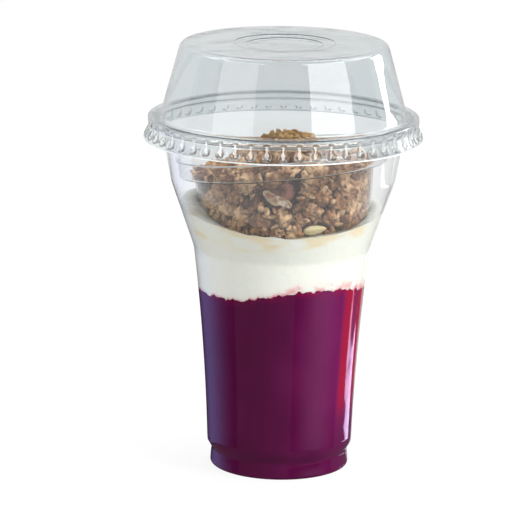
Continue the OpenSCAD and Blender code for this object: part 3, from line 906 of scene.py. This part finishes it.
class DESSERT_OT_yogurt(bpy.types.Operator):
    """Thick yogurt over the puree, with the dent that the tub presses into it"""

    bl_idname = "dessert.yogurt"
    bl_label = "Yogurt"

    # Last rows of the base, the wall, the top and the dent
    BASE, WALL, TOP, DENT = 8, 34, 40, 54
    # Gap over the puree's line, and how far the yogurt reaches into the tub's wall that it wets
    GAP = 0.02 * MM
    INTO_TUB = 0.15 * MM

    def execute(self, context):
        scene = context.scene
        cup, tub, food = scene.cup_sizes, scene.tub_sizes, scene.food_sizes
        piece = draw_outline("yogurt", [Vector((MM, k * MM)) for k in range(self.DENT + 1)])
        spin(FOOD_STEPS)
        bpy.ops.mesh.select_all(action="SELECT")
        bpy.ops.mesh.remove_doubles(threshold=1e-7)
        object_mode()
        for vertex in piece.data.vertices:
            co = vertex.co
            vertex.co = self.place(cup, tub, food, round(co.z / MM), math.atan2(co.y, co.x))
        edit_mode()
        close_round()
        smear, stain = [], []
        for vertex in piece.data.vertices:
            co = vertex.co
            low = berry_line(food, math.atan2(co.y, co.x)) + self.GAP
            reach = mix(1.1, 4.2, ramp(co.x, -6 * MM, 8 * MM)) * MM
            smear.append(ramp(co.z, 84 * MM, 87 * MM) * ramp(-co.y, 8 * MM, 20 * MM))
            stain.append(1 - ramp(co.z, low + 0.1 * MM, low + reach))
        set_values(piece, "smear", smear)
        set_values(piece, "stain", stain)
        smooth(piece, 60)
        hand_over(piece, "cup", "yogurt", yogurt_material(scene.cup_colours), "yogurt_layer")
        return {"FINISHED"}

    def place(self, cup, tub, food, row, angle):
        """Where one point of the mesh goes."""
        inset = cup.wall - food.wet
        low = berry_line(food, angle) + self.GAP
        edge_z = yogurt_line(food, angle)
        if row <= self.BASE:
            t = row / self.BASE
            z = mix(food.berry_z, low, t)
            return polar(t * (cup_radius(cup, z) - inset), angle, z + 0.1 * MM * (1 - t))
        if row <= self.WALL:
            z = mix(low, edge_z, (row - self.BASE) / (self.WALL - self.BASE))
            return polar(cup_radius(cup, z) - inset, angle, z)
        stand = tub_place(tub)
        grain = noise.noise(polar(60, angle, row * 0.6)) * MM
        meet = stand @ polar(tub_radius(tub, 9 * MM), angle, 0)
        front = ramp(-math.sin(angle), 0.1, 0.7)
        dent_z = edge_z + mix(0.9, -2.0, front) * MM + 0.5 * grain
        h = max(0.5 * MM, (stand.inverted() @ Vector((meet.x, meet.y, dent_z))).z)
        if row <= self.TOP:
            s = (row - self.WALL) / (self.TOP - self.WALL)
            outer = polar(cup_radius(cup, edge_z) - inset, angle, edge_z)
            inner = stand @ polar(tub_radius(tub, h) - self.INTO_TUB, angle, h)
            point = outer.lerp(inner, s)
            swell = 0.8 * MM * math.sin(math.pi * s) + 1.4 * grain * s * (1 - s)
            point.z += (1 - front) * swell
            return point
        s = (row - self.TOP) / (self.DENT - self.TOP)
        k = h * (1 - ramp(s, 0, 0.7))
        radius = (tub_radius(tub, k) - self.INTO_TUB) * (1 - max(0.0, (s - 0.7) / 0.3))
        return stand @ polar(radius, angle, k + self.INTO_TUB)


class DESSERT_OT_granola(bpy.types.Operator):
    """Granola clusters pressed against the tub's wall and heaped above its rim"""

    bl_idname = "dessert.granola"
    bl_label = "Granola"

    RANDOM_SEED = 7
    IN_WALL, IN_HEAP = 100, 84
    CRUMBS_LOW, CRUMBS_ON_TOP = 760, 420
    # The heap's radius, how far to the right its peak lies, and how far the gold reaches round it
    HEAP_R = 34 * MM
    PEAK_X = 4.2 * MM
    GOLD_R = 10.5 * MM
    # How far out it may reach inside the tub's wide band
    BAND_R = 34.2 * MM
    # Places that stay free for the nut, the sliver and the seed: degrees, height and reach in mm
    KEPT_FREE = ((-99, 17.5, 8.0), (-90, 18, 7.6), (-89, 14, 6.6), (-69, 4, 5.6))

    def execute(self, context):
        scene = context.scene
        tub, food = scene.tub_sizes, scene.food_sizes
        rng = random.Random(self.RANDOM_SEED)
        kinds = [self.cluster(k, food.cluster) for k in range(8)]
        crumbs = [self.crumb(k) for k in range(4)]
        groups = (
            ("granola_wall", self.wall_clusters(tub, food, kinds, rng)),
            ("granola_heap_top", self.heap_clusters(tub, food, kinds, rng)),
            ("granola_crumbs", self.crumb_places(tub, food, crumbs, rng)))
        material = granola_material(scene.cup_colours)
        for name, parts in groups:
            piece = self.assemble(name, parts, tub)
            smooth(piece, 80)
            hand_over(piece, "cup", "granola", material, "granola_heap")
        # The dark filling paints the shade between the clusters.
        hand_over(self.core(tub), "cup", "granola", material, "granola_heap")
        for kind in kinds + crumbs:
            bpy.data.objects.remove(kind)
        return {"FINISHED"}

    def ball(self, name, index, fineness, radius):
        """A ball that lies clear of the others of its kind, so that each gets knobs of its own."""
        deselect()
        bpy.ops.mesh.primitive_ico_sphere_add(
            subdivisions=fineness, radius=radius, location=(index * 40 * MM, 0, 0))
        return named(name)

    def knobble(self, piece, kind, grain, strength):
        """Pushes a surface in and out by a pattern of this grain."""
        texture = bpy.data.textures.new("knobs", kind)
        texture.noise_scale = grain
        knobs = piece.modifiers.new("Knobs", "DISPLACE")
        knobs.texture = texture
        knobs.texture_coords = "GLOBAL"
        knobs.strength = strength
        bpy.ops.object.modifier_apply(modifier=knobs.name)

    def cluster(self, index, diameter):
        """One knobbly cluster at the origin."""
        piece = self.ball("cluster_kind", index, 4, diameter / 2)
        self.knobble(piece, "CLOUDS", 4.5 * MM, 0.40 * diameter)
        self.knobble(piece, "VORONOI", 1.9 * MM, -0.34 * diameter)
        self.knobble(piece, "CLOUDS", 0.8 * MM, 0.14 * diameter)
        bpy.ops.object.location_clear()
        return piece

    def crumb(self, index):
        """One small flake of oat at the origin."""
        piece = self.ball("crumb_kind", index, 2, 1.45 * MM)
        edit_mode()
        bpy.ops.transform.resize(value=(1.2, 0.85, 0.45))
        object_mode()
        self.knobble(piece, "CLOUDS", 1.3 * MM, 0.9 * MM)
        bpy.ops.object.location_clear()
        return piece

    def turned(self, rng, scale):
        """A random turn and an uneven scale."""
        axis = Vector((rng.uniform(-1, 1), rng.uniform(-1, 1), rng.uniform(-1, 1))).normalized()
        whirl = Matrix.Rotation(rng.uniform(0, FULL_TURN), 4, axis)
        wide, long = rng.uniform(0.85, 1.2), rng.uniform(0.8, 1.1)
        return whirl @ Matrix.Diagonal((scale * wide, scale * long, scale, 1))

    def inner_radius(self, tub, h):
        """How far out the granola may reach at height h of the tub."""
        ledge_z = tub.height - tub.band_h
        below = tub_radius(tub, min(h, ledge_z)) - tub.wall
        return mix(below, self.BAND_R, ramp(h, ledge_z, ledge_z + 2 * MM)) - 0.1 * MM

    def from_peak(self, radius, angle):
        """Distance from the heap's peak, seen from above."""
        return math.hypot(radius * math.cos(angle) - self.PEAK_X, radius * math.sin(angle))

    def heap_height(self, tub, food, radius, angle):
        """Height of the heap's surface in the tub's frame, steepest round its peak."""
        beside = self.from_peak(radius, angle)
        t = radius / self.HEAP_R
        away = min(1.0, beside / self.HEAP_R)
        crown = food.heap + food.heap_drop - 2 * MM
        crown *= max(0.0, (1 - t * t) * (1 - away * away)) ** 1.05
        slant = food.heap_slant * t * max(0.0, math.cos(angle - math.radians(22)))
        peak = 2.6 * MM * max(0.0, 1 - (beside / (9 * MM)) ** 4)
        return tub.height - food.heap_drop + crown + peak - slant

    def hides_nut(self, tub, point, part):
        """Whether a point lies so near the nut, the sliver or the seed that it would hide it."""
        for degrees, h, reach in self.KEPT_FREE:
            spot = polar(self.inner_radius(tub, h * MM), math.radians(degrees), h * MM)
            if (spot - point).length < part * reach * MM:
                return True
        return False

    def wall_clusters(self, tub, food, kinds, rng):
        """Clusters up the tub's wall, each a golden turn further round, and half as many behind."""
        parts = []
        top = tub.height - tub.band_h
        for k in range(self.IN_WALL):
            h = max(2.4 * MM, top * (k + 0.5) / self.IN_WALL)
            angle = k * GOLDEN_TURN + rng.uniform(-0.04, 0.04)
            parts += self.at_wall(tub, food, kinds, rng, angle, h, 0.5)
            if k % 2:
                parts += self.at_wall(tub, food, kinds, rng, angle + 1.3, h, 1.05)
        return parts

    def at_wall(self, tub, food, kinds, rng, angle, h, depth):
        """One cluster, depth times its size from the wall, unless it would hide the nut or seed."""
        scale = rng.uniform(0.88, 1.2)
        point = polar(self.inner_radius(tub, h) - food.cluster * scale * depth, angle, h)
        if depth < 1 and self.hides_nut(tub, point, 1.0):
            return []
        matrix = Matrix.Translation(point) @ self.turned(rng, scale)
        return [(rng.choice(kinds), matrix, rng.uniform(-0.1, 0.75))]

    def heap_clusters(self, tub, food, kinds, rng):
        """Clusters over the heap, on a spiral of even density."""
        parts = []
        for k in range(self.IN_HEAP):
            radius = math.sqrt((k + 0.5) / self.IN_HEAP) * 31 * MM
            angle = k * GOLDEN_TURN + rng.uniform(-0.15, 0.15)
            scale = rng.uniform(0.72, 1.08)
            z = self.heap_height(tub, food, radius, angle) - 0.42 * food.cluster * scale
            spot = Matrix.Translation(polar(radius, angle, z))
            gold = self.from_peak(radius, angle) < self.GOLD_R
            tone = rng.uniform(1.5, 2.0) if gold else rng.uniform(0.0, 0.6)
            parts.append((rng.choice(kinds), spot @ self.turned(rng, scale), tone))
        return parts

    def crumb_places(self, tub, food, crumbs, rng):
        """Crumbs and flakes in the gaps along the wall and over the heap."""
        parts = []
        for _ in range(self.CRUMBS_LOW):
            angle = rng.uniform(0, FULL_TURN)
            h = rng.uniform(0.9, 25) * MM
            radius = self.inner_radius(tub, h) - rng.uniform(0.9, 3.2) * MM
            point = polar(radius, angle, h)
            above = h > self.heap_height(tub, food, radius, angle)
            if above or self.hides_nut(tub, point, 0.8):
                continue
            kind = rng.choice(crumbs)
            matrix = Matrix.Translation(point) @ self.turned(rng, rng.uniform(0.7, 1.3))
            parts.append((kind, matrix, rng.uniform(0.0, 0.85)))
        for _ in range(self.CRUMBS_ON_TOP):
            radius = math.sqrt(rng.random()) * 32 * MM
            angle = rng.uniform(0, FULL_TURN)
            z = self.heap_height(tub, food, radius, angle) + rng.uniform(-1.6, 0.2) * MM
            gold = self.from_peak(radius, angle) < self.GOLD_R
            tone = rng.uniform(1.3, 2.0) if gold else rng.uniform(0.1, 0.9)
            kind = rng.choice(crumbs)
            spot = Matrix.Translation(polar(radius, angle, z))
            parts.append((kind, spot @ self.turned(rng, rng.uniform(0.7, 1.3)), tone))
        return parts

    def assemble(self, name, parts, tub):
        """Copies of the kinds at their places, pressed flat where they meet the tub's wall."""
        stand = tub_place(tub)
        verts, faces, tones = [], [], []
        for kind, matrix, tone in parts:
            first = len(verts)
            for vertex in kind.data.vertices:
                point = matrix @ vertex.co
                point.z = max(point.z, tub.wall + TUB_GAP)
                limit = self.inner_radius(tub, point.z)
                radius = math.hypot(point.x, point.y)
                if radius > limit:
                    point.x *= limit / radius
                    point.y *= limit / radius
                verts.append(stand @ point)
                tones.append(tone)
            faces += [[first + i for i in face.vertices] for face in kind.data.polygons]
        mesh = bpy.data.meshes.new(name)
        mesh.from_pydata([tuple(v) for v in verts], [], faces)
        piece = bpy.data.objects.new(name, mesh)
        bpy.context.scene.collection.objects.link(piece)
        set_values(piece, "tone", tones)
        return piece

    def core(self, tub):
        """Opaque filling behind the clusters, so that no light comes through the heap; its dark colour
        is painted shade in the gaps between them.
        """
        inset = 4.6 * MM
        low, shoulder, dome = 2.5 * MM, 19 * MM, 10 * MM
        levels = [mix(low, shoulder, k / 8) for k in range(9)]
        side = [Vector((self.inner_radius(tub, h) - inset, h)) for h in levels]
        top = [Vector((side[-1].x * (1 - k / 6), shoulder + dome * k / 6)) for k in range(1, 7)]
        piece = spin_outline("granola_core", [Vector((0, low))] + side + top, 72)
        # The lowest tone gives the darkest toast: painted shade.
        set_values(piece, "tone", [-0.2] * len(piece.data.vertices))
        move_mesh(piece, tub_place(tub))
        smooth(piece)
        return piece


class DESSERT_OT_seed_and_nut(bpy.types.Operator):
    """Pumpkin seed, broken nut kernel and almond sliver against the tub's wall"""

    bl_idname = "dessert.seed_and_nut"
    bl_label = "Seed and nut"

    # Middle of the nut's broken face, as shares of its length, and its direction:
    # outwards, along the nut and up
    CUT_AT = Vector((0.06, -0.26, -0.06))
    CUT_SIDE = Vector((0.62, -0.72, -0.3)).normalized()

    def execute(self, context):
        scene = context.scene
        tub, food, colours = scene.tub_sizes, scene.food_sizes, scene.cup_colours
        stand = tub_place(tub)
        seed = self.seed(food)
        out = tub.corner - tub.wall - 0.3 * MM - 0.13 * food.seed_len
        corner_r = tub_radius(tub, tub.corner) - tub.corner - 0.7 * MM
        move_mesh(seed, (
            stand @ Matrix.Rotation(math.radians(-69), 4, "Z")
            @ Matrix.Translation((corner_r, 0, tub.corner))
            @ Matrix.Rotation(math.radians(40), 4, "Y") @ Matrix.Translation((out, 0, 0))))
        skin = seed_material("Seed", colours.seed, colours.honey, 260)
        hand_over(seed, "cup", "seed", skin, "pumpkin_seed")
        nut = self.nut(food)
        skin = seed_material("Nut", colours.nut, colours.toast, 300)
        hand_over(nut, "cup", "nut", skin, "nut_kernel")
        flesh = seed_material("Nut flesh", colours.kernel, colours.honey, 420)
        cut = self.CUT_AT * food.nut_len
        edge_faces(nut, flesh, lambda c: (c - cut).dot(self.CUT_SIDE) > -0.1 * MM)
        h = 17 * MM
        nut_r = tub_radius(tub, h) - tub.wall - TUB_GAP - 0.31 * food.nut_len
        move_mesh(nut, (
            stand @ Matrix.Rotation(math.radians(-94), 4, "Z")
            @ Matrix.Translation((nut_r, 0, h)) @ Matrix.Rotation(math.radians(14), 4, "X")))
        sliver = self.sliver(tub)
        move_mesh(sliver, stand)
        almond = seed_material("Almond sliver", colours.oat, colours.kernel, 500)
        hand_over(sliver, "cup", "nut", almond)
        return {"FINISHED"}

    def sliver(self, tub):
        """A thin bent sliver of almond that stands on edge against the tub's wall."""
        deselect()
        bpy.ops.mesh.primitive_grid_add(x_subdivisions=24, y_subdivisions=6, size=2)
        piece = named("almond_sliver")
        thickness = 0.5 * MM
        for vertex in piece.data.vertices:
            along, across = vertex.co.x, vertex.co.y
            width = 1.5 * MM * math.sqrt(max(0.0, 1 - along ** 2)) * (1 + 0.3 * along)
            h = (15.4 - 2.5 * along) * MM + across * width
            angle = math.radians(-94.6 + 9 * along)
            reach = tub_radius(tub, h) - tub.wall - TUB_GAP - (1 - across) * 0.3 * MM
            vertex.co = polar(reach, angle, h)
        thicken(piece, thickness, offset=0)
        edit_mode()
        close_round()
        smooth(piece, 60)
        return piece

    def seed(self, food):
        """Flat oval seed with a raised rim and one pointed end, lying along Y."""
        deselect()
        half = food.seed_len / 2
        bpy.ops.mesh.primitive_uv_sphere_add(segments=40, ring_count=24, radius=half)
        piece = named("seed")
        for vertex in piece.data.vertices:
            co = vertex.co
            taper = 1 - 0.25 * co.z / half
            flat = 1 + 0.25 * ramp(abs(co.x) / half, 0.3, 0.9)
            vertex.co = (0.26 * co.y * taper * flat, co.z, 0.44 * co.x * taper)
        smooth(piece, 60)
        return piece

    def nut(self, food):
        """Plump kernel broken flat across one end, lying along Y."""
        deselect()
        bpy.ops.mesh.primitive_uv_sphere_add(segments=48, ring_count=32, radius=food.nut_len / 2)
        piece = named("nut")
        for vertex in piece.data.vertices:
            co = vertex.co
            wrinkle = 1 + 0.05 * noise.noise(co * 900)
            vertex.co = (0.62 * co.y * wrinkle, co.z, 0.72 * co.x * wrinkle)
        edit_mode()
        bpy.ops.mesh.bisect(
            plane_co=self.CUT_AT * food.nut_len, plane_no=self.CUT_SIDE,
            use_fill=True, clear_outer=True)
        object_mode()
        smooth(piece, 40)
        return piece


# Where the photograph was taken from, in metres and radians, and the lens in millimetres
CAMERA_AT = Vector((0, -1.1872, 0.3609))
CAMERA_PITCH = 0.23534
CAMERA_YAW = -0.00775
CAMERA_ROLL = 0.01227
CAMERA_LENS = 239.5

# Lamps: name, azimuth, elevation, distance, width, height and power
LAMPS = (
    ("key_right", 64, 26, 1.3, 0.7, 1.0, 19),
    ("fill_left", -52, 20, 1.3, 0.9, 1.2, 9.5),
    ("overhead", 150, 70, 1.4, 1.1, 1.1, 13))

# Reflection cards: name, colour, strength, distance, how softly they fade at the sides, and
# levels of elevation with the card's left and right azimuth there
BLUE = (0.30, 0.42, 1.0)
LILAC = (0.8, 0.66, 1.0)
BEHIND = ((-60, 164, 196), (-18, 162, 198), (-13, 106, 254), (86, 100, 260))
WEDGE = (
    (-20.8, 130, 133), (-20.4, 117, 136), (-19.9, 120, 139),
    (-19.4, 128, 143), (-18.9, 135, 143), (-18.3, 140, 141))
CARDS = (
    ("card_behind", WHITE, 0.75, 2.7, 0, BEHIND),
    ("card_right", WHITE, 6.5, 2.5, 0, ((3, 27, 71), (50, 27, 71))),
    ("card_left", WHITE, 2.4, 2.5, 0, ((3, -71, -29), (50, -71, -29))),
    ("card_low_front", WHITE, 13.0, 0.35, 0.1, ((-6, -64, 64), (0.5, -64, 64))),
    ("card_low_right_side", WHITE, 4.0, 0.35, 0, ((-6, 64, 104), (0.5, 64, 104))),
    ("card_low_left_side", WHITE, 4.0, 0.35, 0, ((-6, -104, -64), (0.5, -104, -64))),
    ("card_streak", WHITE, 12.0, 2.5, 0, ((5, 113, 130), (25, 111, 132))),
    ("card_skirt_front", WHITE, 11.0, 2.5, 0.2, ((34, 22, 82), (50, 22, 82))),
    ("card_skirt_front_left", WHITE, 7.0, 2.5, 0.2, ((34, -80, -24), (50, -80, -24))),
    ("card_skirt_right", WHITE, 5.0, 2.5, 0.2, ((32, 84, 140), (56, 84, 140))),
    ("card_skirt_left", WHITE, 5.0, 2.5, 0.2, ((32, -116, -84), (56, -116, -84))),
    ("card_top", WHITE, 5.0, 2.5, 0.3, ((52, 110, 250), (80, 110, 250))),
    ("card_wedge", LILAC, 5.0, 2.5, 0.1, WEDGE),
    ("card_low_right", LILAC, 0.55, 2.5, 1, ((-27, 20, 100), (-14, 14, 96))),
    ("card_low_left", BLUE, 1.0, 2.5, 1, ((-27, -170, -70), (-14, -170, -70))),
    ("card_line", LILAC, 0.9, 2.5, 0.5, ((-23, -87, -84), (-18, -88, -85))))

# How white the floor shows, and what the white past the object loses by a diffuse or glossy bounce
FLOOR_WHITE = 0.86
BOUNCE_LOSS = (("Diffuse Depth", -0.28), ("Glossy Depth", -0.12))


def away(azimuth, elevation):
    """The direction from the cup to there. Azimuth 0 is in front and 90 to the right."""
    a, e = math.radians(azimuth), math.radians(elevation)
    return Vector((math.sin(a) * math.cos(e), -math.cos(a) * math.cos(e), math.sin(e)))


class DESSERT_OT_stage(bpy.types.Operator):
    """Pale floor, soft lamps, reflection cards and the camera"""

    bl_idname = "dessert.stage"
    bl_label = "Stage"

    def execute(self, context):
        scene = context.scene
        self.camera(scene)
        self.floor(scene)
        self.world(scene)
        for lamp in LAMPS:
            self.lamp(scene, *lamp)
        for card in CARDS:
            self.card(*card)
        scene.view_settings.view_transform = "Standard"
        return {"FINISHED"}

    def camera(self, scene):
        """The camera at the photograph's place and angle."""
        data = bpy.data.cameras.new("camera")
        data.lens = CAMERA_LENS
        data.clip_end = 20
        camera = bpy.data.objects.new("camera", data)
        scene.collection.objects.link(camera)
        p, w, q = CAMERA_PITCH, CAMERA_YAW, CAMERA_ROLL
        ahead = Vector((math.sin(w) * math.cos(p), math.cos(w) * math.cos(p), -math.sin(p)))
        right = Vector((math.cos(w), -math.sin(w), 0))
        above = right.cross(ahead)
        side = right * math.cos(q) + above * math.sin(q)
        up = above * math.cos(q) - right * math.sin(q)
        turned = Matrix((side, up, -ahead)).transposed()
        camera.matrix_world = Matrix.Translation(CAMERA_AT) @ turned.to_4x4()
        scene.camera = camera

    def seen(self, tree, path):
        """Whether the camera sees this, straight or through clear plastic."""
        rays = path.outputs["Is Camera Ray"], path.outputs["Is Transmission Ray"]
        return combine(tree, "MAXIMUM", *rays)

    def floor(self, scene):
        """A pale floor that shows as white to the camera and keeps the object's shadow."""
        deselect()
        bpy.ops.mesh.primitive_plane_add(size=8, location=(0, 0, 0))
        floor = named("floor")
        material, tree = new_material("Floor")
        path = add_node(tree, "ShaderNodeLightPath")
        matt = principled(tree, Base_Color=scene.cup_colours.floor, Roughness=0.8)
        glow = add_node(tree, "ShaderNodeEmission", {"Color": WHITE})
        whiteness = combine(tree, "MULTIPLY", self.seen(tree, path), FLOOR_WHITE)
        pale = mix_shaders(tree, whiteness, matt, glow)
        hole = add_node(tree, "ShaderNodeBsdfTransparent")
        end_in(tree, mix_shaders(tree, path.outputs["Is Glossy Ray"], pale, hole))
        floor.data.materials.append(material)

    def world(self, scene):
        """Even soft light, dim in gloss, and white where the camera looks past everything."""
        world = bpy.data.worlds.new("studio")
        world.use_nodes = True
        tree = world.node_tree
        tree.nodes.clear()
        path = add_node(tree, "ShaderNodeLightPath")
        soft = add_node(tree, "ShaderNodeBackground", {"Color": (0.96, 0.98, 1.0), "Strength": 0.57})
        dim = add_node(tree, "ShaderNodeBackground", {"Color": (0.93, 0.97, 1.0), "Strength": 0.12})
        level = 1.0
        for depth, loss in BOUNCE_LOSS:
            once = combine(tree, "ADD", path.outputs[depth], 0.0)
            level = combine(tree, "MULTIPLY_ADD", once, loss, level)
        white = add_node(tree, "ShaderNodeBackground", {"Color": WHITE, "Strength": level})
        plain = mix_shaders(tree, path.outputs["Is Glossy Ray"], soft, dim)
        both = mix_shaders(tree, self.seen(tree, path), plain, white)
        add_node(tree, "ShaderNodeOutputWorld", {"Surface": both})
        scene.world = world

    def lamp(self, scene, name, azimuth, elevation, distance, wide, high, power):
        """One soft lamp, turned to the cup."""
        data = bpy.data.lights.new(name, "AREA")
        data.shape = "RECTANGLE"
        data.size = wide
        data.size_y = high
        data.energy = power
        lamp = bpy.data.objects.new(name, data)
        scene.collection.objects.link(lamp)
        out = away(azimuth, elevation)
        turned = out.to_track_quat("Z", "Y").to_matrix().to_4x4()
        lamp.matrix_world = Matrix.Translation(MIDDLE + out * distance) @ turned
        lamp.visible_camera = False
        lamp.visible_glossy = False
        lamp.visible_transmission = False

    def card(self, name, colour, strength, distance, soft, outline):
        """A bright curved card that only gloss sees, fading towards its edges."""
        deselect()
        bpy.ops.mesh.primitive_grid_add(x_subdivisions=24, y_subdivisions=24, size=2)
        card = named(name)
        fade = []
        for vertex in card.data.vertices:
            across, up = vertex.co.xy
            fade.append(ramp(1 - abs(across), -0.001, soft) * ramp(1 - abs(up), -0.001, 0.4 * soft))
            level = (up + 1) / 2 * (len(outline) - 1)
            first = min(int(level), len(outline) - 2)
            rows = zip(outline[first], outline[first + 1])
            elevation, left, right = (mix(low, high, level - first) for low, high in rows)
            vertex.co = MIDDLE + away(mix(left, right, (across + 1) / 2), elevation) * distance
        set_values(card, "fade", fade)
        material, tree = new_material(name)
        power = combine(tree, "MULTIPLY_ADD", read_value(tree, "fade"), strength, 0.0)
        end_in(tree, add_node(tree, "ShaderNodeEmission", {"Color": colour, "Strength": power}))
        material.cycles.emission_sampling = "NONE"
        card.data.materials.append(material)
        for ray in ("camera", "diffuse", "transmission", "shadow", "volume_scatter"):
            setattr(card, "visible_" + ray, False)


class DESSERT_PT_panel(bpy.types.Panel):
    """Sizes, colours and building steps of the dessert cup"""

    bl_idname = "DESSERT_PT_panel"
    bl_label = "Dessert cup"
    bl_space_type = "VIEW_3D"
    bl_region_type = "UI"
    bl_category = "Dessert cup"

    def draw(self, context):
        for step in STEPS:
            self.layout.operator(step.bl_idname)
        for name, group, label in GROUPS:
            box = self.layout.box()
            box.label(text=label)
            for key in group.__annotations__:
                box.prop(getattr(context.scene, name), key)


STEPS = (
    DESSERT_OT_stage, DESSERT_OT_cup, DESSERT_OT_lid, DESSERT_OT_tub, DESSERT_OT_berry,
    DESSERT_OT_yogurt, DESSERT_OT_granola, DESSERT_OT_seed_and_nut)


def register():
    for name, group, _ in GROUPS:
        bpy.utils.register_class(group)
        setattr(bpy.types.Scene, name, bpy.props.PointerProperty(type=group))
    for step in STEPS:
        bpy.utils.register_class(step)
    bpy.utils.register_class(DESSERT_PT_panel)


def unregister():
    bpy.utils.unregister_class(DESSERT_PT_panel)
    for step in reversed(STEPS):
        bpy.utils.unregister_class(step)
    for name, group, _ in reversed(GROUPS):
        delattr(bpy.types.Scene, name)
        bpy.utils.unregister_class(group)


def main():
    register()
    bpy.ops.dessert.stage()
    bpy.ops.dessert.cup()
    bpy.ops.dessert.lid()
    bpy.ops.dessert.tub()
    bpy.ops.dessert.berry()
    bpy.ops.dessert.yogurt()
    bpy.ops.dessert.granola()
    bpy.ops.dessert.seed_and_nut()
    deselect()


if __name__ == "__main__":
    main()
